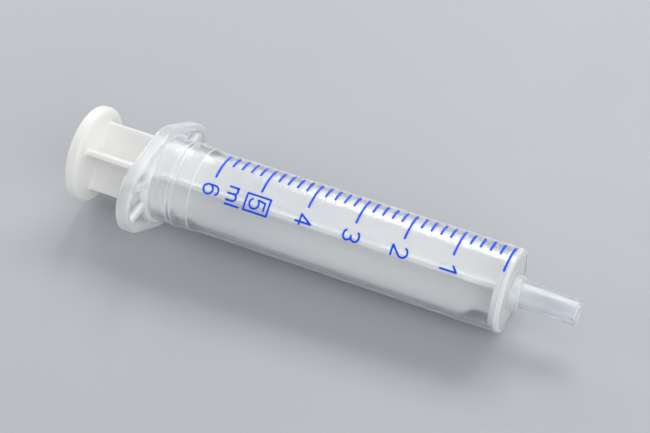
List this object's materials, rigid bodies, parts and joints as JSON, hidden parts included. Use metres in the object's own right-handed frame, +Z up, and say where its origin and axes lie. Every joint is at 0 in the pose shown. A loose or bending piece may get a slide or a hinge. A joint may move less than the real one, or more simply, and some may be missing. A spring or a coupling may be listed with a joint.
{
  "type": "oral syringe",
  "caption": "Slip-tip dosing syringe lying on its side: clear barrel with eared finger flange and tapered nozzle, printed scale, and a sliding cross-finned plunger.",
  "frame": {"origin": "on the surface that the syringe lies on, below the axis and midway between the thumb disc's back and the nozzle's tip", "axes": "+X along the barrel's axis toward the nozzle, +Z up with one straight edge of the finger flange lying flat on the surface"},
  "size_m": [0.0868, 0.0276, 0.0174],
  "materials": {
    "clear_polypropylene": "moulded clear, slightly hazy",
    "milky_polyethylene": "moulded, milky and satin",
    "blue_ink": "screen-printed"
  },
  "bodies": {
    "barrel": {"barrel": "clear_polypropylene", "major_graduations": "blue_ink", "minor_graduations": "blue_ink", "numerals": "blue_ink", "unit_letters": "blue_ink", "capacity_frame": "blue_ink"},
    "plunger": {"plunger": "milky_polyethylene"}
  },
  "joints": [
    {"name": "plunger_slide", "type": "slide", "parent": "barrel", "child": "plunger", "axis": [-1, 0, 0], "range_m": [0, 0.0554]}
  ]
}
